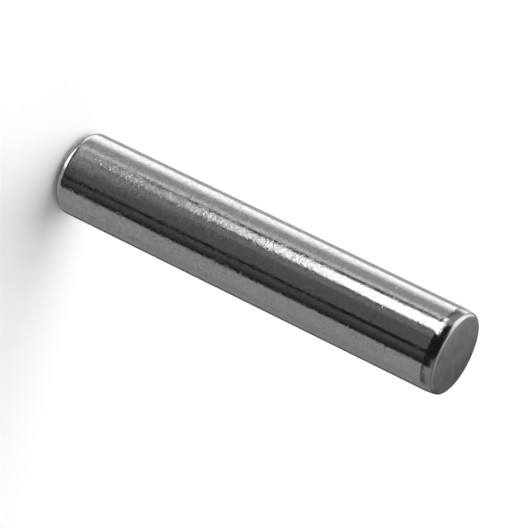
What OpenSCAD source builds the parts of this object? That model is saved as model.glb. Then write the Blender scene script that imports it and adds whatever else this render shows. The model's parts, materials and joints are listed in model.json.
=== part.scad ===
// Dowel pin: a hardened steel bar, ground to a close diameter, with a bullet lead-in at one end
// and a rounded edge at the other. It stands on the flat of the rounded end. The origin is the
// middle of that flat, and +Z runs along the axis towards the lead-in.

/* [Barrel] */
// Diameter of the ground barrel
pin_d = 8; // [4:0.5:16]
// Nominal length, from where the rounded end begins to the face of the lead-in end
pin_l = 40; // [16:1:100]

/* [Lead-in end] */
// Length of the lead-in along the axis
lead_l = 1.2; // [0.6:0.1:2.5]
// Angle between the barrel and the start of the lead-in, in degrees
lead_angle = 3; // [1:0.5:10]
// Radius of the lead-in's bulge along the axis
lead_r = 10; // [6:0.5:40]
// Radius that breaks the edge between the lead-in and the end face
edge_r = 0.3; // [0.1:0.05:0.5]

/* [Rounded end] */
// Radius that rounds the barrel into the foot
foot_r = 1; // [0.3:0.1:1.5]

/* [Hidden] */
$fn = 144;

barrel_r = pin_d / 2;
overall_l = pin_l + foot_r;
lead_z = overall_l - lead_l;

// Centre of the bulge arc, which leaves the barrel at lead_z
bulge = [barrel_r - lead_r * cos(lead_angle), lead_z - lead_r * sin(lead_angle)];

// Centre of the edge arc, tangent to the bulge and to the end face, and the slope where the arcs meet
edge_z = overall_l - edge_r;
edge_slope = asin((edge_z - bulge.y) / (lead_r - edge_r));
edge = [bulge.x + (lead_r - edge_r) * cos(edge_slope), edge_z];

// Corner between the foot and the barrel that the rounding takes off
module foot_cut() {
    translate([barrel_r - foot_r, 0])
        difference() {
            square(foot_r);
            translate([0, foot_r])
                circle(foot_r);
        }
}

// Metal outside the bulge arc, from the height of its centre up
module lead_cut() {
    difference() {
        translate([0, bulge.y])
            square([pin_d, overall_l]);
        translate(bulge)
            circle(lead_r);
    }
}

// Sharp corner between the two points where the edge arc is tangent
module edge_cut() {
    reach = 2 * edge_r;
    translate(edge)
        difference() {
            polygon([[0, 0], reach * [cos(edge_slope), sin(edge_slope)], [reach, reach], [0, reach]]);
            circle(edge_r);
        }
}

// Half of the pin's section, from the axis outwards
module half_section() {
    difference() {
        square([barrel_r, overall_l]);
        foot_cut();
        lead_cut();
        edge_cut();
    }
}

module dowel_pin() {
    color("silver")
        rotate_extrude()
            half_section();
}

dowel_pin();
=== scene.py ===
import json
import math

import bpy
from mathutils import Matrix, Vector


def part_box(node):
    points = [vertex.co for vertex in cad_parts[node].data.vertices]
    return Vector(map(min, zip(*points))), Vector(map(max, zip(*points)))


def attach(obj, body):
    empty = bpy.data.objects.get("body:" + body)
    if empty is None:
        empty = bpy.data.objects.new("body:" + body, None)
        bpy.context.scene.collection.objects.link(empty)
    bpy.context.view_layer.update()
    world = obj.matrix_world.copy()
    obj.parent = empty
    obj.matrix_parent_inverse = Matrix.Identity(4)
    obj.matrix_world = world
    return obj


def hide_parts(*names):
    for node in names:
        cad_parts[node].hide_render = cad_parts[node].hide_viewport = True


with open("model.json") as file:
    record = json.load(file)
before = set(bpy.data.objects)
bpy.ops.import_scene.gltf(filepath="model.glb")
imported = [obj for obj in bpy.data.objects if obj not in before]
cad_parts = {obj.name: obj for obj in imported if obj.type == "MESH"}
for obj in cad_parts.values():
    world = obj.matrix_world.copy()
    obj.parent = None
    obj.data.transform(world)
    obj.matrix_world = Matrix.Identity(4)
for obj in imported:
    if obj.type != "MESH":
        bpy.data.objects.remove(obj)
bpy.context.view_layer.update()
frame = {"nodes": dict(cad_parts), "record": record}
print("frame loaded:", ", ".join(frame["nodes"]))

mm = 0.001
pinLow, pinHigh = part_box("dowel_pin")
shank = next(mount for mount in frame["record"]["mounts"] if mount["name"] == "shank")
shankMiddle = shank["pos_m"][2]
shankHalf = shank["dims"]["length_mm"] * mm / 2


def addNode(tree, kind, **settings):
    made = tree.nodes.new(kind)
    for name, value in settings.items():
        setattr(made, name, value)
    return made


def feed(tree, socket, value):
    if isinstance(value, bpy.types.NodeSocket):
        tree.links.new(value, socket)
    else:
        socket.default_value = value


def calc(tree, operation, *values):
    made = addNode(tree, "ShaderNodeMath", operation=operation)
    for socket, value in zip(made.inputs, values):
        feed(tree, socket, value)
    return made.outputs[0]


def point(tree, x, y, z=0):
    made = addNode(tree, "ShaderNodeCombineXYZ")
    for socket, value in zip(made.inputs, (x, y, z)):
        feed(tree, socket, value)
    return made.outputs[0]


# sizes of the turned and ground pin, in metres and radians; each is an input of its node tree
pinSizes = {
    "Barrel radius": shank["dims"]["r_mm"] * mm,
    "Overall length": pinHigh.z - pinLow.z,
    "Foot radius": shankMiddle - shankHalf - pinLow.z,
    "Lead-in start": shankMiddle + shankHalf - pinLow.z,
    "Lead-in angle": math.radians(3),
    "Bulge radius": 10 * mm,
    "Edge radius": 0.3 * mm,
    "Guard": 0.04 * mm,  # rings this close to an arc keep the barrel and the flats true in shading
    "Seam": 0.001 * mm,  # points this close become one
    "Segments": 288,
    "Arc steps": 16,
    "Barrel rings": 40,
}


# the half section is drawn in the tree's XY plane, X out from the axis and Y along it
def sectionArc(tree, centre, radius, start, end, steps):
    arc = addNode(tree, "GeometryNodeCurveArc", mode="RADIUS")
    feed(tree, arc.inputs["Resolution"], steps)
    feed(tree, arc.inputs["Radius"], radius)
    feed(tree, arc.inputs["Start Angle"], start)
    feed(tree, arc.inputs["Sweep Angle"], calc(tree, "SUBTRACT", end, start))
    moved = addNode(tree, "GeometryNodeTransform")
    feed(tree, moved.inputs["Geometry"], arc.outputs["Curve"])
    feed(tree, moved.inputs["Translation"], point(tree, *centre))
    return moved.outputs["Geometry"]


def sectionLine(tree, start, end, rings=2):
    line = addNode(tree, "GeometryNodeCurvePrimitiveLine", mode="POINTS")
    feed(tree, line.inputs["Start"], point(tree, *start))
    feed(tree, line.inputs["End"], point(tree, *end))
    spaced = addNode(tree, "GeometryNodeResampleCurve", mode="COUNT")
    feed(tree, spaced.inputs["Curve"], line.outputs["Curve"])
    feed(tree, spaced.inputs["Count"], rings)
    return spaced.outputs["Curve"]


def halfSection(tree, size):
    radius, length = size["Barrel radius"], size["Overall length"]
    foot, guard, steps = size["Foot radius"], size["Guard"], size["Arc steps"]
    lead, bulge, edge = size["Lead-in start"], size["Bulge radius"], size["Edge radius"]
    angle = size["Lead-in angle"]
    quarter = math.pi / 2

    footX = calc(tree, "SUBTRACT", radius, foot)
    bulgeX = calc(tree, "SUBTRACT", radius, calc(tree, "MULTIPLY", bulge, calc(tree, "COSINE", angle)))
    bulgeY = calc(tree, "SUBTRACT", lead, calc(tree, "MULTIPLY", bulge, calc(tree, "SINE", angle)))
    # the edge arc is tangent to the bulge and to the end face
    reach = calc(tree, "SUBTRACT", bulge, edge)
    edgeY = calc(tree, "SUBTRACT", length, edge)
    slope = calc(tree, "ARCSINE", calc(tree, "DIVIDE", calc(tree, "SUBTRACT", edgeY, bulgeY), reach))
    edgeX = calc(tree, "ADD", bulgeX, calc(tree, "MULTIPLY", reach, calc(tree, "COSINE", slope)))

    barrelLow = calc(tree, "ADD", foot, guard)
    barrelHigh = calc(tree, "SUBTRACT", lead, guard)
    runs = [
        sectionLine(tree, (0, 0), (calc(tree, "SUBTRACT", footX, guard), 0)),
        sectionArc(tree, (footX, foot), foot, -quarter, 0, steps),
        sectionLine(tree, (radius, barrelLow), (radius, barrelHigh), size["Barrel rings"]),
        sectionArc(tree, (bulgeX, bulgeY), bulge, angle, slope, steps),
        sectionArc(tree, (edgeX, edgeY), edge, slope, quarter, steps),
        sectionLine(tree, (calc(tree, "SUBTRACT", edgeX, guard), length), (0, length)),
    ]
    joined = addNode(tree, "GeometryNodeJoinGeometry")
    for run in runs:
        tree.links.new(run, joined.inputs[0])
    stations = addNode(tree, "GeometryNodeCurveToPoints", mode="EVALUATED")
    feed(tree, stations.inputs["Curve"], joined.outputs[0])

    # seen from the middle of the axis, the stations follow each other by their bearing
    place = addNode(tree, "ShaderNodeSeparateXYZ")
    feed(tree, place.inputs[0], addNode(tree, "GeometryNodeInputPosition").outputs[0])
    height = calc(tree, "SUBTRACT", place.outputs["Y"], calc(tree, "DIVIDE", length, 2))
    ordered = addNode(tree, "GeometryNodeSortElements", domain="POINT")
    feed(tree, ordered.inputs["Geometry"], stations.outputs["Points"])
    feed(tree, ordered.inputs["Sort Weight"], calc(tree, "ARCTAN2", height, place.outputs["X"]))
    return ordered.outputs["Geometry"]


def revolve(tree, stations, segments, seam):
    count = addNode(tree, "GeometryNodeAttributeDomainSize", component="POINTCLOUD")
    feed(tree, count.inputs["Geometry"], stations)
    rings = count.outputs["Point Count"]
    grid = addNode(tree, "GeometryNodeMeshGrid")
    feed(tree, grid.inputs["Vertices X"], calc(tree, "ADD", segments, 1))
    feed(tree, grid.inputs["Vertices Y"], rings)

    index = addNode(tree, "GeometryNodeInputIndex").outputs[0]
    ring = calc(tree, "FLOORED_MODULO", index, rings)
    middle = calc(tree, "ADD", index, 0.5)  # clear of rounding when it is divided
    turn = calc(tree, "FLOOR", calc(tree, "DIVIDE", middle, rings))
    angle = calc(tree, "DIVIDE", calc(tree, "MULTIPLY", turn, 2 * math.pi), segments)
    station = addNode(tree, "GeometryNodeSampleIndex", data_type="FLOAT_VECTOR", domain="POINT")
    feed(tree, station.inputs["Geometry"], stations)
    feed(tree, station.inputs["Value"], addNode(tree, "GeometryNodeInputPosition").outputs[0])
    feed(tree, station.inputs["Index"], ring)
    section = addNode(tree, "ShaderNodeSeparateXYZ")
    feed(tree, section.inputs[0], station.outputs["Value"])
    x = calc(tree, "MULTIPLY", section.outputs["X"], calc(tree, "COSINE", angle))
    y = calc(tree, "MULTIPLY", section.outputs["X"], calc(tree, "SINE", angle))

    turned = addNode(tree, "GeometryNodeSetPosition")
    feed(tree, turned.inputs["Geometry"], grid.outputs["Mesh"])
    feed(tree, turned.inputs["Position"], point(tree, x, y, section.outputs["Y"]))
    closed = addNode(tree, "GeometryNodeMergeByDistance")
    feed(tree, closed.inputs["Geometry"], turned.outputs["Geometry"])
    feed(tree, closed.inputs["Distance"], seam)
    smooth = addNode(tree, "GeometryNodeSetShadeSmooth")
    feed(tree, smooth.inputs["Geometry"], closed.outputs["Geometry"])
    return smooth.outputs["Geometry"]


# both flats and the broken edge of the lead-in end are satin: how far up or down their normals point
satinFacing = {"up": 0.25, "down": -0.9995}


def dress(tree, mesh, barrelFinish, endFinish):
    solid = addNode(tree, "GeometryNodeRealizeInstances")
    feed(tree, solid.inputs["Geometry"], mesh)
    barrel = addNode(tree, "GeometryNodeSetMaterial")
    feed(tree, barrel.inputs["Geometry"], solid.outputs["Geometry"])
    feed(tree, barrel.inputs["Material"], barrelFinish)
    facing = addNode(tree, "ShaderNodeSeparateXYZ")
    feed(tree, facing.inputs[0], addNode(tree, "GeometryNodeInputNormal").outputs[0])
    upper = calc(tree, "GREATER_THAN", facing.outputs["Z"], satinFacing["up"])
    under = calc(tree, "LESS_THAN", facing.outputs["Z"], satinFacing["down"])
    ends = addNode(tree, "GeometryNodeSetMaterial")
    feed(tree, ends.inputs["Geometry"], barrel.outputs["Geometry"])
    feed(tree, ends.inputs["Selection"], calc(tree, "MAXIMUM", upper, under))
    feed(tree, ends.inputs["Material"], endFinish)
    return ends.outputs["Geometry"]


def makePin(barrelFinish, endFinish):
    tree = bpy.data.node_groups.new("turnedPin", "GeometryNodeTree")
    settings = {**pinSizes, "Barrel finish": barrelFinish, "End finish": endFinish}
    kinds = {float: "NodeSocketFloat", int: "NodeSocketInt", bpy.types.Material: "NodeSocketMaterial"}
    tree.interface.new_socket("Pin", in_out="OUTPUT", socket_type="NodeSocketGeometry")
    inputs = {
        name: tree.interface.new_socket(name, in_out="INPUT", socket_type=kinds[type(value)])
        for name, value in settings.items()
    }
    size = addNode(tree, "NodeGroupInput").outputs
    stations = halfSection(tree, size)
    mesh = revolve(tree, stations, size["Segments"], size["Seam"])
    finished = dress(tree, mesh, size["Barrel finish"], size["End finish"])
    feed(tree, addNode(tree, "NodeGroupOutput").inputs["Pin"], finished)

    piece = bpy.data.objects.new("dowelPin", bpy.data.meshes.new("dowelPin"))
    bpy.context.scene.collection.objects.link(piece)
    modifier = piece.modifiers.new("turnedPin", "NODES")
    modifier.node_group = tree
    for name, value in settings.items():
        modifier[inputs[name].identifier] = value
    made = piece.evaluated_get(bpy.context.evaluated_depsgraph_get())
    plain = bpy.data.meshes.new_from_object(made)
    piece.modifiers.remove(modifier)
    piece.data = plain
    plain.name = "dowelPin"
    print("pin turned:", len(plain.vertices), "points,", len(plain.polygons), "faces")
    return piece


def steelMaterial(name):
    material = bpy.data.materials.new(name)
    material.use_nodes = True
    tree = material.node_tree
    shader = next(node for node in tree.nodes if node.type == "BSDF_PRINCIPLED")
    shader.inputs["Metallic"].default_value = 1
    return material, tree, shader


# noise on the piece's own coordinates, with so many cells to the millimetre across and along the pin
def noiseOn(tree, cells, detail=2.0, offset=0.0, swirl=0.0):
    across, along = (count / mm for count in cells)
    mapping = addNode(tree, "ShaderNodeMapping")
    feed(tree, mapping.inputs["Vector"], addNode(tree, "ShaderNodeTexCoord").outputs["Object"])
    mapping.inputs["Scale"].default_value = (across, across, along)
    mapping.inputs["Location"].default_value = (offset, offset, offset)
    noise = addNode(tree, "ShaderNodeTexNoise")
    feed(tree, noise.inputs["Vector"], mapping.outputs["Vector"])
    noise.inputs["Scale"].default_value = 1
    noise.inputs["Detail"].default_value = detail
    noise.inputs["Distortion"].default_value = swirl
    return noise.outputs["Fac"]


# a value from start to end, where most of a noise lies, becomes one from low to high
def ranged(tree, value, low, high, start=0.3, end=0.7):
    made = addNode(tree, "ShaderNodeMapRange", interpolation_type="SMOOTHSTEP")
    feed(tree, made.inputs["Value"], value)
    for name, number in (("From Min", start), ("From Max", end), ("To Min", low), ("To Max", high)):
        made.inputs[name].default_value = number
    return made.outputs["Result"]


def tinted(tree, factor, first, second):
    made = addNode(tree, "ShaderNodeMix", data_type="RGBA")
    colours = [socket for socket in made.inputs if socket.type == "RGBA"]
    feed(tree, made.inputs[0], factor)
    feed(tree, colours[0], first)
    feed(tree, colours[1], second)
    return next(socket for socket in made.outputs if socket.type == "RGBA")


def bumped(tree, height, depth, below=None):
    made = addNode(tree, "ShaderNodeBump")
    feed(tree, made.inputs["Height"], height)
    made.inputs["Distance"].default_value = depth
    if below is not None:
        feed(tree, made.inputs["Normal"], below)
    return made.outputs["Normal"]


# ground and polished barrel: cells to the millimetre as (across, along), depths in metres
barrelSteel = {
    "darkTint": (0.535, 0.525, 0.517, 1),
    "paleTint": (0.680, 0.670, 0.660, 1),
    "tintCells": (2.0, 2.0),
    "sheen": (0.06, 0.13),  # roughness from its smoothest to its dullest patch
    "sheenCells": (0.9, 0.6),
    "stretch": 0.5,  # the grinding lines spread a reflection along the pin
    "stretchTurn": 0.25,  # a quarter turn from the lines
    "waveCells": (0.3, 0.1),
    "waveDepth": 9e-6,
    "grainCells": (5.5, 2.2),
    "grainDepth": 9e-6,
    "wornCells": (0.5, 0.35),  # patches where the stains and the grain show more or less
    "worn": (0.5, 1.25),
    "wornHeight": (14 * mm, 38 * mm),  # they fade from the foot towards the lead-in
    "wornFade": (1.15, 0.7),
    "markCells": (1.5, 2.6),
    "markShare": (0.6, 0.75),  # only the peaks of the noise are marks
    "markDepth": 3e-6,
    "markSheen": 0.3,
}


def groundSteel():
    finish = barrelSteel
    material, tree, shader = steelMaterial("groundSteel")
    place = addNode(tree, "ShaderNodeSeparateXYZ")
    feed(tree, place.inputs[0], addNode(tree, "ShaderNodeTexCoord").outputs["Object"])
    fade = ranged(tree, place.outputs["Z"], *finish["wornFade"], *finish["wornHeight"])
    patches = ranged(tree, noiseOn(tree, finish["wornCells"], offset=17), *finish["worn"])
    worn = calc(tree, "MULTIPLY", patches, fade)
    # the stains swing about the middle of the two tints
    stain = ranged(tree, noiseOn(tree, finish["tintCells"], detail=5, swirl=1.5), -0.5, 0.5)
    tint = calc(tree, "MULTIPLY_ADD", stain, worn, 0.5)
    feed(tree, shader.inputs["Base Color"], tinted(tree, tint, finish["darkTint"], finish["paleTint"]))

    marks = ranged(tree, noiseOn(tree, finish["markCells"], offset=11), 0, 1, *finish["markShare"])
    sheen = ranged(tree, noiseOn(tree, finish["sheenCells"], detail=4, offset=7), *finish["sheen"])
    dulled = calc(tree, "MAXIMUM", sheen, calc(tree, "MULTIPLY", marks, finish["markSheen"]))
    feed(tree, shader.inputs["Roughness"], dulled)

    wave = bumped(tree, noiseOn(tree, finish["waveCells"], detail=1, offset=3), finish["waveDepth"])
    grain = calc(tree, "MULTIPLY", noiseOn(tree, finish["grainCells"], offset=5, swirl=1), worn)
    grained = bumped(tree, grain, finish["grainDepth"], wave)
    feed(tree, shader.inputs["Normal"], bumped(tree, marks, finish["markDepth"], grained))

    shader.inputs["Anisotropic"].default_value = finish["stretch"]
    shader.inputs["Anisotropic Rotation"].default_value = finish["stretchTurn"]
    lines = addNode(tree, "ShaderNodeTangent", direction_type="RADIAL", axis="Z")
    feed(tree, shader.inputs["Tangent"], lines.outputs["Tangent"])
    print("barrel finish made")
    return material


# flat ends and the broken edge: faced in the lathe and tumbled to a satin darker than the barrel
endSteel = {
    "darkTint": (0.290, 0.287, 0.284, 1),
    "paleTint": (0.375, 0.372, 0.369, 1),
    "grazingTint": (0.5, 0.5, 0.5, 1),  # the satin stays grey when it is seen flat
    "tintCells": (0.8, 0.8),
    "sheen": (0.28, 0.33),
    "sheenCells": (1.2, 1.2),
    "crown": 9.0,  # fall of the face towards its rim, in metres to the square metre
    "roll": 1.2e-5,  # fall of the rolled rim, in metres
    "rollRadius": 3.6 * mm,
    "rollPower": 8,  # keeps the roll close to the rim
    "waveCells": (0.25, 0.25),
    "waveDepth": 2.5e-5,
    "grainCells": (9.0, 9.0),
    "grainDepth": 2.0e-6,
}


def satinSteel():
    finish = endSteel
    material, tree, shader = steelMaterial("satinSteel")
    place = addNode(tree, "ShaderNodeSeparateXYZ")
    feed(tree, place.inputs[0], addNode(tree, "ShaderNodeTexCoord").outputs["Object"])
    radiusSquared = calc(tree, "ADD", *(calc(tree, "POWER", place.outputs[axis], 2) for axis in "XY"))

    mottle = ranged(tree, noiseOn(tree, finish["tintCells"], detail=4), 0, 1)
    feed(tree, shader.inputs["Base Color"], tinted(tree, mottle, finish["darkTint"], finish["paleTint"]))
    shader.inputs["Specular Tint"].default_value = finish["grazingTint"]
    sheen = ranged(tree, noiseOn(tree, finish["sheenCells"], detail=3, offset=7), *finish["sheen"])
    feed(tree, shader.inputs["Roughness"], sheen)

    share = calc(tree, "DIVIDE", radiusSquared, finish["rollRadius"] ** 2)
    roll = calc(tree, "MULTIPLY", calc(tree, "POWER", share, finish["rollPower"]), -finish["roll"])
    crown = bumped(tree, calc(tree, "MULTIPLY_ADD", radiusSquared, -finish["crown"], roll), 1)
    wave = bumped(tree, noiseOn(tree, finish["waveCells"], detail=1, offset=3), finish["waveDepth"], crown)
    grain = bumped(tree, noiseOn(tree, finish["grainCells"], offset=5), finish["grainDepth"], wave)
    feed(tree, shader.inputs["Normal"], grain)
    print("end finish made")
    return material


# light cards round the pin, each hiding what stands behind it: turn is the bearing from the camera side
# towards +X and tilt the height, as start, end and the softness of each, in degrees
studioWall = 0.1
leanTilt = -24  # a leaning card keeps its turn here, and each degree above takes its lean off the turn
studioCards = {
    "ceiling": {"tilt": (66, 120, 8, 1), "level": 1.3},
    "front wall": {"turn": (-62, 62, 8, 8), "tilt": (14, 66, 6, 8), "level": 0.45},
    "right wall": {"turn": (60, 152, 8, 14), "tilt": (14, 66, 6, 8), "level": 0.55},
    "right panel": {"turn": (70, 132, 8, 10), "tilt": (4, 44, 4, 8), "level": 0.48},
    "back panel": {"turn": (150, 200, 10, 1), "tilt": (46, 72, 6, 6), "level": 0.9},
    "back panel end": {"turn": (-200, -158, 1, 4), "tilt": (46, 72, 6, 6), "level": 0.9},
    "back screen": {"turn": (146, 200, 10, 1), "tilt": (13, 47, 4, 6), "level": 0.27},
    "back screen end": {"turn": (-200, -158, 1, 4), "tilt": (13, 47, 4, 6), "level": 0.51},
    "softbox top": {"turn": (-167, -62, 10, 10), "tilt": (36, 66, 5, 6), "level": 1.4},
    "softbox": {"turn": (-167, -62, 10, 10), "tilt": (5, 49, 5, 8), "level": 3.1},
    "ceiling end": {"turn": (-12, 200, 12, 1), "tilt": (60, 120, 8, 1), "level": 0.8},
    "left wall": {"turn": (-160, -32, 1, 1), "tilt": (-75, 1, 2, 4), "level": 0.29},
    "left wall end": {"turn": (-164, -122, 2, 8), "tilt": (-17, 6, 1, 4), "level": 1.1},
    "rim light": {"turn": (-128, -68, 8, 4), "tilt": (-5.2, 6, 1.3, 3), "level": 2.2},
    "right screen": {"turn": (60, 152, 0.6, 4), "tilt": (-75, 6, 2, 4), "level": 0.27},
    "front flag": {"turn": (-60, 60, 4, 0.6), "tilt": (-75, 12, 2, 6), "level": 0.021},
    "tall flag": {"turn": (-45, 30, 10, 14), "tilt": (-12, 46, 2, 8), "level": 0.015},
    "flag end": {"turn": (38, 62, 8, 2), "tilt": (-6, 14, 3, 4), "level": 0.24},
    "far strip": {"turn": (-136, -70, 2, 2), "tilt": (-46, -18, 8, 0.6), "level": 1.5},
    "left edge": {"turn": (-200, -136.5, 1, 1.5), "tilt": (-70, -17, 1, 1), "level": 0.47},
    "left reflector": {"turn": (-107.5, -40, 13, 1), "tilt": (-70, -18, 1, 0.6), "lean": 1, "level": 0.4},
    "front floor": {"turn": (-33, 23, 1, 2), "tilt": (-33, -16.5, 1, 1), "level": 0.12},
    "front fade": {"turn": (-33, -15, 1, 3), "tilt": (-33, -16.5, 1, 1), "lean": -0.6, "level": 0.22},
    "front line": {"turn": (-40, -26, 1, 3), "tilt": (-25.4, -16.5, 1.2, 1), "level": 0.13},
    "front glow": {"turn": (-33, -6, 1, 12), "tilt": (-33, -27.5, 1, 3), "level": 0.42},
    "right floor": {"turn": (30, 44, 1, 14), "tilt": (-33, -16.5, 1, 1), "level": 0.1},
    "front seam": {"turn": (23.5, 30, 1, 1), "tilt": (-33, -16.5, 1, 1), "lean": 0.7, "level": 0.018},
    "right reflector": {"turn": (60, 148, 0.6, 6), "tilt": (-70, -18, 1, 0.6), "level": 0.355},
    "right reflector end": {"turn": (106, 148, 12, 6), "tilt": (-70, -18, 1, 0.6), "level": 0.3},
    "right edge": {"turn": (148, 200, 4, 1), "tilt": (-70, -16, 1, 1), "level": 0.12},
    "key backing": {"turn": (-64, -34.9, 1, 1), "tilt": (-33, -21, 1, 1), "lean": -0.9, "level": 0.4},
    "key strip": {"turn": (-71, -34.9, 1, 1), "tilt": (-23.7, -11.5, 1.9, 2), "lean": -0.9, "level": 2.2},
    "key fringe": {"turn": (-74, -63.5, 4, 1), "tilt": (-36, -18, 1, 1), "lean": 1.06, "level": 0.8},
    "key seam": {"turn": (-64.5, -54.5, 1, 1), "tilt": (-26.2, -16, 1.2, 1), "lean": 1.12, "level": 0.03},
    "left crease": {"turn": (-122, -60, 8, 1), "tilt": (-16.6, -13.8, 0.6, 0.6), "level": 0.13},
    "key hook": {"turn": (-76, -64, 2, 1), "tilt": (-16.4, -13, 0.5, 0.8), "level": 2},
    "right crease": {"turn": (60, 116, 1, 14), "tilt": (-17, -13.2, 0.6, 0.8), "level": 0.04},
    "back wall": {"turn": (-200, -157, 1, 4), "tilt": (-15, 14, 2, 4), "level": 0.15},
    "back wall end": {"turn": (150, 200, 1, 1), "tilt": (-15, 13, 2, 4), "level": 0.12},
    "under flag": {"turn": (-60, 60, 4, 4), "tilt": (-48, -31, 3, 1.4), "level": 0.03},
    "under card end": {"turn": (8, 120, 10, 20), "tilt": (-120, -48, 1, 4), "level": 0.42},
    "under card": {"turn": (-66, 12, 20, 10), "tilt": (-120, -48, 1, 4), "level": 1.8},
}


def cardMask(tree, angle, edges):
    start, end, startSoft, endSoft = edges
    rise = ranged(tree, angle, 0, 1, start - startSoft, start + startSoft)
    fall = ranged(tree, angle, 1, 0, end - endSoft, end + endSoft)
    return calc(tree, "MULTIPLY", rise, fall)


def makeStudio():
    world = bpy.data.worlds.new("studio")
    bpy.context.scene.world = world
    world.use_nodes = True
    tree = world.node_tree
    direction = addNode(tree, "ShaderNodeSeparateXYZ")
    feed(tree, direction.inputs[0], addNode(tree, "ShaderNodeTexCoord").outputs["Generated"])
    front = calc(tree, "MULTIPLY", direction.outputs["Y"], -1)
    turn = calc(tree, "DEGREES", calc(tree, "ARCTAN2", direction.outputs["X"], front))
    tilt = calc(tree, "DEGREES", calc(tree, "ARCSINE", direction.outputs["Z"]))
    climb = calc(tree, "SUBTRACT", tilt, leanTilt)
    light = studioWall
    for name, card in studioCards.items():
        mask = cardMask(tree, tilt, card["tilt"])
        leaning = turn
        if "lean" in card:
            leaning = calc(tree, "ADD", turn, calc(tree, "MULTIPLY", climb, card["lean"]))
        if "turn" in card:
            mask = calc(tree, "MULTIPLY", cardMask(tree, leaning, card["turn"]), mask)
        shown = addNode(tree, "ShaderNodeMix", data_type="FLOAT", label=name)
        feed(tree, shown.inputs[0], mask)
        feed(tree, shown.inputs[2], light)
        feed(tree, shown.inputs[3], card["level"])
        light = shown.outputs[0]
    sky = next(node for node in tree.nodes if node.type == "BACKGROUND")
    sky.inputs["Color"].default_value = (1, 1, 1, 1)
    feed(tree, sky.inputs["Strength"], light)
    print("studio lit by", len(studioCards), "cards")


# white paper that the pin stands on
floorPaper = {
    "span": 4,  # metres
    "tint": (1, 1, 1, 1),
    "roughness": 1,
}


def makeFloor():
    half = floorPaper["span"] / 2
    corners = [(-half, -half), (half, -half), (half, half), (-half, half)]
    mesh = bpy.data.meshes.new("floor")
    mesh.from_pydata([(x, y, pinLow.z) for x, y in corners], [], [(0, 1, 2, 3)])
    floor = bpy.data.objects.new("floor", mesh)
    bpy.context.scene.collection.objects.link(floor)
    paper = bpy.data.materials.new("whitePaper")
    paper.use_nodes = True
    shader = next(node for node in paper.node_tree.nodes if node.type == "BSDF_PRINCIPLED")
    shader.inputs["Base Color"].default_value = floorPaper["tint"]
    shader.inputs["Roughness"].default_value = floorPaper["roughness"]
    shader.inputs["Specular IOR Level"].default_value = 0
    mesh.materials.append(paper)
    floor.visible_glossy = False  # the polished barrel mirrors the cards
    print("floor laid")


# camera: distance in metres, lens in millimetres, shift in pixels of the photo
shot = {
    "elevation": math.radians(23.9),
    "roll": math.radians(-115.97),
    "distance": 0.2943,
    "lens": 225,
    "shift": (2.3, -3.9),
    "photoSide": 528,
}


def makeCamera():
    middle = (pinLow + pinHigh) / 2
    cosine, sine = math.cos(shot["elevation"]), math.sin(shot["elevation"])
    back, right = Vector((0, -cosine, sine)), Vector((1, 0, 0))
    up = back.cross(right)
    rollCosine, rollSine = math.cos(shot["roll"]), math.sin(shot["roll"])
    across = rollCosine * right - rollSine * up
    upward = rollSine * right + rollCosine * up
    data = bpy.data.cameras.new("camera")
    data.lens = shot["lens"]
    data.shift_x, data.shift_y = (pixels / shot["photoSide"] for pixels in shot["shift"])
    camera = bpy.data.objects.new("camera", data)
    axes = Matrix((across, upward, back)).transposed().to_4x4()
    camera.matrix_world = Matrix.Translation(middle + back * shot["distance"]) @ axes
    bpy.context.scene.collection.objects.link(camera)
    bpy.context.scene.camera = camera
    print("camera placed")


makeCamera()
makeStudio()
makeFloor()
dowelPin = makePin(groundSteel(), satinSteel())
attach(dowelPin, "root")
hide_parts("dowel_pin")
bpy.context.scene.view_settings.view_transform = "Standard"

bpy.context.view_layer.update()
